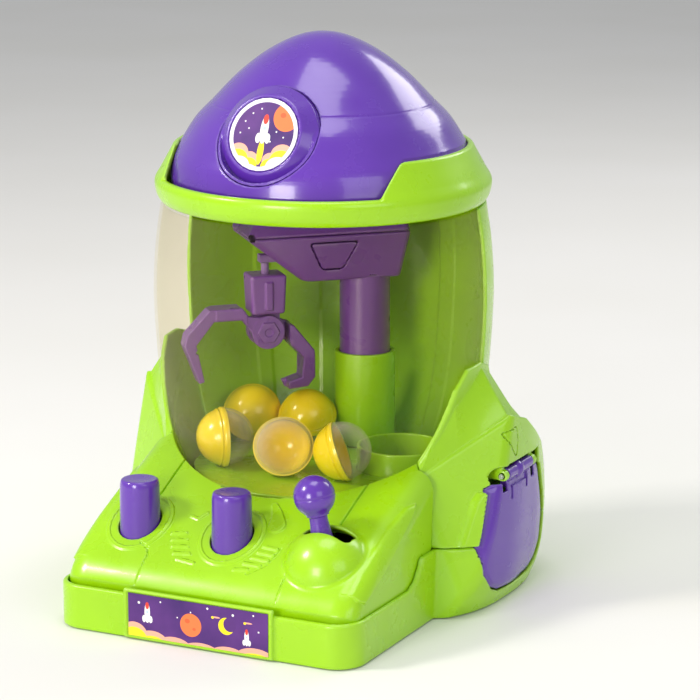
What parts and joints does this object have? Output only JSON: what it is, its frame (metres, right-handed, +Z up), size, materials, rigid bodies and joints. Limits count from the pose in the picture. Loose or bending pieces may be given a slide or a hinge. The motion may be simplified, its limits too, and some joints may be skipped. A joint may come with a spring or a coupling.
{
  "type": "claw crane machine",
  "caption": "Tabletop hand-worked claw crane toy with a rocket-shaped housing, clear window, two buttons, joystick, swinging arm and claw, prize capsules and a side prize door.",
  "frame": {"origin": "on the underside of the bottom cover, on the barrel's upright axis", "axes": "+Z up, the control deck faces -Y, the prize door is on +X"},
  "size_m": [0.2304, 0.2466, 0.306],
  "materials": {
    "green_plastic": "glossy lime green ABS",
    "purple_plastic": "glossy purple ABS",
    "yellow_plastic": "glossy yellow polystyrene",
    "clear_plastic": "clear polystyrene",
    "window_plastic": "clear plastic with a light smoke tint",
    "steel": "plain steel",
    "sticker": "printed glossy sticker"
  },
  "bodies": {
    "housing": {"lower_base": "green_plastic", "bottom_cover": "green_plastic", "control_deck": "green_plastic", "left_wing": "green_plastic", "right_wing": "green_plastic", "rear_shell": "green_plastic", "window": "window_plastic", "roof_ring": "green_plastic", "roof_cap": "purple_plastic", "badge_boss": "purple_plastic", "badge_sticker": "sticker", "front_sticker": "sticker", "pit_floor": "green_plastic", "column_sleeve": "green_plastic", "chute_cup": "green_plastic", "exit_bin": "green_plastic", "door_pin": "steel", "joystick_pin": "steel", "lift_lever_pin": "steel", "claw_lever_pin": "steel", "swing_pin": "steel", "gear_bracket": "green_plastic", "lift_spring": "steel", "claw_spring": "steel", "base_screw_1": "steel", "base_screw_2": "steel", "base_screw_3": "steel", "base_screw_4": "steel"},
    "prize_door": {"prize_door": "purple_plastic"},
    "lift_button": {"lift_button": "purple_plastic"},
    "claw_button": {"claw_button": "purple_plastic"},
    "joystick": {"joystick": "purple_plastic"},
    "lift_lever": {"lift_lever": "purple_plastic"},
    "claw_lever": {"claw_lever": "purple_plastic"},
    "swing_lever": {"swing_lever": "purple_plastic"},
    "turn_gear": {"turn_gear": "purple_plastic"},
    "arm": {"lift_column": "purple_plastic", "arm_shell": "purple_plastic", "arm_cover": "purple_plastic", "rocker_pin": "steel", "claw_post": "purple_plastic", "jaw_pin": "steel"},
    "centre_rod": {"centre_rod": "steel"},
    "claw_rocker": {"claw_rocker": "purple_plastic"},
    "claw_rod": {"claw_rod": "steel"},
    "jaw_outer": {"jaw_outer": "purple_plastic"},
    "jaw_inner": {"jaw_inner": "purple_plastic"},
    "ball_1": {"ball_1_yellow": "yellow_plastic", "ball_1_clear": "clear_plastic"},
    "ball_2": {"ball_2_yellow": "yellow_plastic", "ball_2_clear": "clear_plastic"},
    "ball_3": {"ball_3_yellow": "yellow_plastic", "ball_3_clear": "clear_plastic"},
    "ball_4": {"ball_4_yellow": "yellow_plastic", "ball_4_clear": "clear_plastic"},
    "ball_5": {"ball_5_yellow": "yellow_plastic", "ball_5_clear": "clear_plastic"},
    "ball_6": {"ball_6_yellow": "yellow_plastic", "ball_6_clear": "clear_plastic"}
  },
  "joints": [
    {"name": "door_swing", "type": "hinge", "parent": "housing", "child": "prize_door", "pos_m": [0.112, 0.011, 0.073], "axis": [0, -1, 0], "range_deg": [0, 80]},
    {"name": "lift_press", "type": "slide", "parent": "housing", "child": "lift_button", "axis": [0, 0, -1], "range_m": [0, 0.012], "stiffness_N_per_m": 150, "springref_m": -0.012, "deforming": ["lift_spring"]},
    {"name": "lift_rock", "type": "hinge", "parent": "housing", "child": "lift_lever", "pos_m": [-0.054, -0.045, 0.0275], "axis": [1, 0, 0], "range_deg": [0, 10.61]},
    {"name": "joystick_tilt", "type": "hinge", "parent": "housing", "child": "joystick", "pos_m": [0.0564, -0.1066, 0.0395], "axis": [0, 1, 0], "range_deg": [0, 32]},
    {"name": "swing_turn", "type": "hinge", "parent": "housing", "child": "swing_lever", "pos_m": [0.02, -0.027, 0.0176], "axis": [0, 0, 1], "range_deg": [-10.86, 0]},
    {"name": "arm_turn", "type": "hinge", "parent": "housing", "child": "turn_gear", "pos_m": [0, 0.0516, 0.019], "axis": [0, 0, 1], "range_deg": [0, 93.01]},
    {"name": "arm_lift", "type": "slide", "parent": "turn_gear", "child": "arm", "axis": [0, 0, 1], "range_m": [0, 0.0189]},
    {"name": "claw_press", "type": "slide", "parent": "housing", "child": "claw_button", "axis": [0, 0, -1], "range_m": [0, 0.012], "stiffness_N_per_m": 150, "springref_m": -0.012, "deforming": ["claw_spring"]},
    {"name": "claw_rock", "type": "hinge", "parent": "housing", "child": "claw_lever", "pos_m": [0, 0.0048, 0.011], "axis": [1, 0, 0], "range_deg": [0, 6.01]},
    {"name": "rod_rise", "type": "slide", "parent": "arm", "child": "centre_rod", "axis": [0, 0, 1], "range_m": [0, 0.00495]},
    {"name": "rocker_turn", "type": "hinge", "parent": "arm", "child": "claw_rocker", "pos_m": [-0.02125, 0.03143, 0.1753], "axis": [0.6884, -0.7254, 0], "range_deg": [0, 9.6]},
    {"name": "claw_rod_drop", "type": "slide", "parent": "arm", "child": "claw_rod", "axis": [0, 0, -1], "range_m": [0, 0.00495]},
    {"name": "outer_jaw_close", "type": "hinge", "parent": "arm", "child": "jaw_outer", "pos_m": [-0.04251, 0.01126, 0.134], "axis": [0.6884, -0.7254, 0], "range_deg": [0, 40.1]},
    {"name": "inner_jaw_close", "type": "hinge", "parent": "arm", "child": "jaw_inner", "pos_m": [-0.04251, 0.01126, 0.134], "axis": [0.6884, -0.7254, 0], "range_deg": [-7.1, 0]},
    {"name": "ball_1_spin", "type": "hinge", "parent": "housing", "child": "ball_1", "pos_m": [-0.0576, 0.0234, 0.0814], "axis": [0, 0, 1], "continuous": true},
    {"name": "ball_2_spin", "type": "hinge", "parent": "housing", "child": "ball_2", "pos_m": [-0.0463, -0.03, 0.0814], "axis": [0, 0, 1], "continuous": true},
    {"name": "ball_3_spin", "type": "hinge", "parent": "housing", "child": "ball_3", "pos_m": [-0.008, -0.0335, 0.0814], "axis": [0, 0, 1], "continuous": true},
    {"name": "ball_4_spin", "type": "hinge", "parent": "housing", "child": "ball_4", "pos_m": [0.0254, -0.028, 0.0814], "axis": [0, 0, 1], "continuous": true},
    {"name": "ball_5_spin", "type": "hinge", "parent": "housing", "child": "ball_5", "pos_m": [-0.0255, 0.0296, 0.0814], "axis": [0, 0, 1], "continuous": true},
    {"name": "ball_6_spin", "type": "hinge", "parent": "housing", "child": "ball_6", "pos_m": [0.082, 0.0112, 0.0287], "axis": [0, 0, 1], "continuous": true}
  ],
  "couplings": [
    {"joint": "lift_rock", "follows": "lift_press", "rad_per_m": 15.417},
    {"joint": "arm_lift", "follows": "lift_press", "ratio": 1.5667},
    {"joint": "swing_turn", "follows": "joystick_tilt", "ratio": -0.33906},
    {"joint": "arm_turn", "follows": "joystick_tilt", "ratio": 2.9062},
    {"joint": "claw_rock", "follows": "claw_press", "rad_per_m": 8.7266},
    {"joint": "rod_rise", "follows": "claw_press", "ratio": 0.40833},
    {"joint": "rocker_turn", "follows": "claw_press", "rad_per_m": 13.803},
    {"joint": "claw_rod_drop", "follows": "claw_press", "ratio": 0.40833},
    {"joint": "outer_jaw_close", "follows": "claw_press", "rad_per_m": 58.178},
    {"joint": "inner_jaw_close", "follows": "claw_press", "rad_per_m": -10.181}
  ]
}
